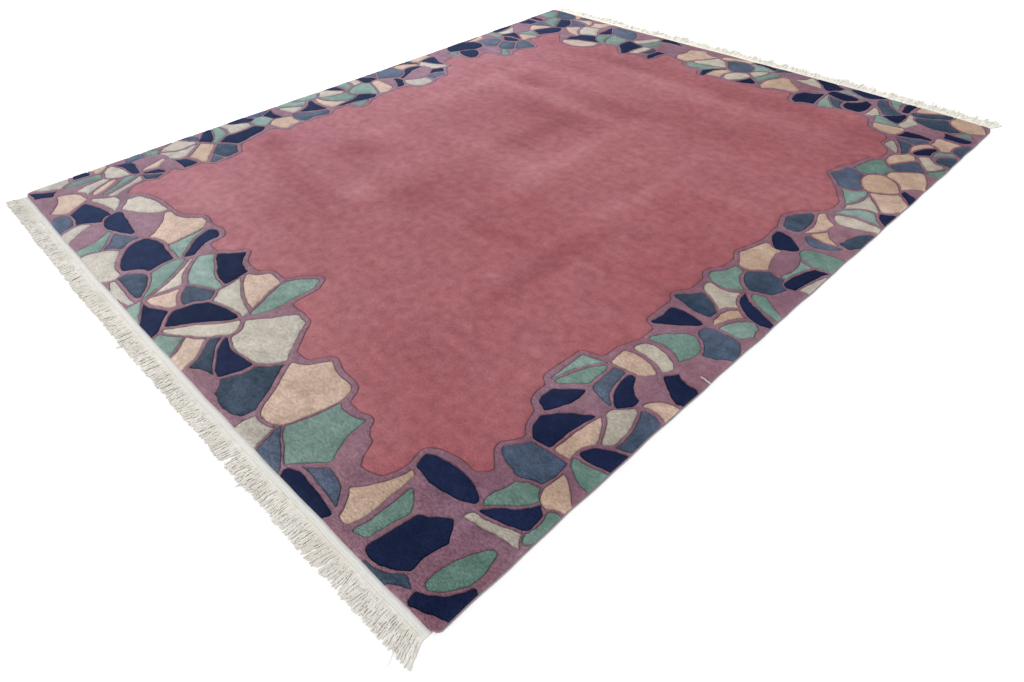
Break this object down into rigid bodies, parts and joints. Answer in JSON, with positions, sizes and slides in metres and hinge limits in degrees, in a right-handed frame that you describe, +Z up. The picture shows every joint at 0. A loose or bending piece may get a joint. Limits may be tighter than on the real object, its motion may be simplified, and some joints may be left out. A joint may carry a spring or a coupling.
{
  "type": "nepalese rug",
  "caption": "Thick hand-knotted wool rug lying flat: dusty rose field, carved crazy-paving stone border on lilac ground, cotton kelim ends with warp fringes.",
  "frame": {"origin": "under the middle of the rug, at the floor, at the centre of the whole box with its fringes", "axes": "+X across the width, +Y along the length between the fringed ends, +Z up through the pile"},
  "size_m": [2.5054, 3.2112, 0.015],
  "materials": {
    "rose_pile": "sheared wool pile, dusty rose, for the field",
    "lilac_pile": "sheared wool pile, dusky lilac, for the border's ground",
    "navy_pile": "sheared wool pile, navy stones",
    "slate_pile": "sheared wool pile, slate blue stones",
    "green_pile": "sheared wool pile, grey-green stones",
    "peach_pile": "sheared wool pile, peach stones",
    "cream_pile": "sheared wool pile, cream stones",
    "foundation_wool": "woven knot backs on the underside",
    "selvedge_wool": "overcast wool cord",
    "kelim_cotton": "flat-woven cotton web",
    "fringe_cotton": "loose twisted cotton warp ends"
  },
  "bodies": {
    "root": {"pile_body": "rose_pile", "selvedge_left": "selvedge_wool", "selvedge_right": "selvedge_wool", "kelim_near": "kelim_cotton", "kelim_far": "kelim_cotton", "fringe_near": "fringe_cotton", "fringe_far": "fringe_cotton"}
  },
  "joints": []
}
